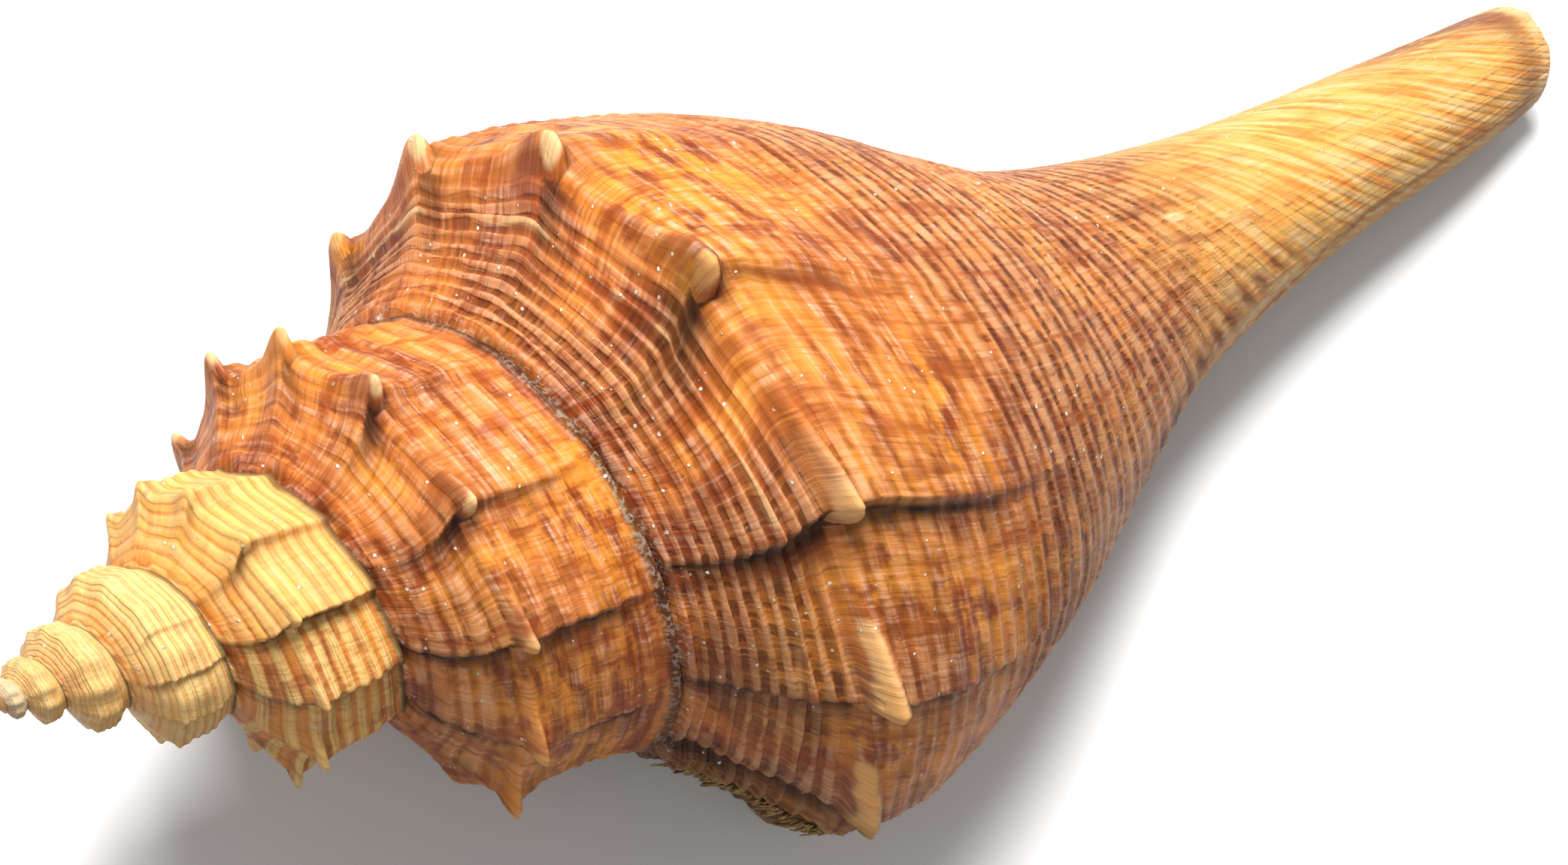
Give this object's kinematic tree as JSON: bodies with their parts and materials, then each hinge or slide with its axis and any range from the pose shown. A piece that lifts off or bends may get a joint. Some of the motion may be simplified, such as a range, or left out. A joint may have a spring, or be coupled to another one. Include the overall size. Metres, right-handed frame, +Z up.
{
  "type": "spindle shell",
  "caption": "Spindle-shaped sea snail shell, coiled to the right, with knobbed whorls, a long open canal and a wide mouth; it lies mouth down, glossy orange-brown.",
  "frame": {"origin": "on the ground under the middle of the shell's box, as it rests", "axes": "+Z up; +X from the spire's tip towards the canal's end; the mouth faces down and towards +Y"},
  "size_m": [0.17, 0.0682, 0.0576],
  "materials": {
    "shell": "gloss"
  },
  "bodies": {
    "root": {"shell": "shell"}
  },
  "joints": []
}
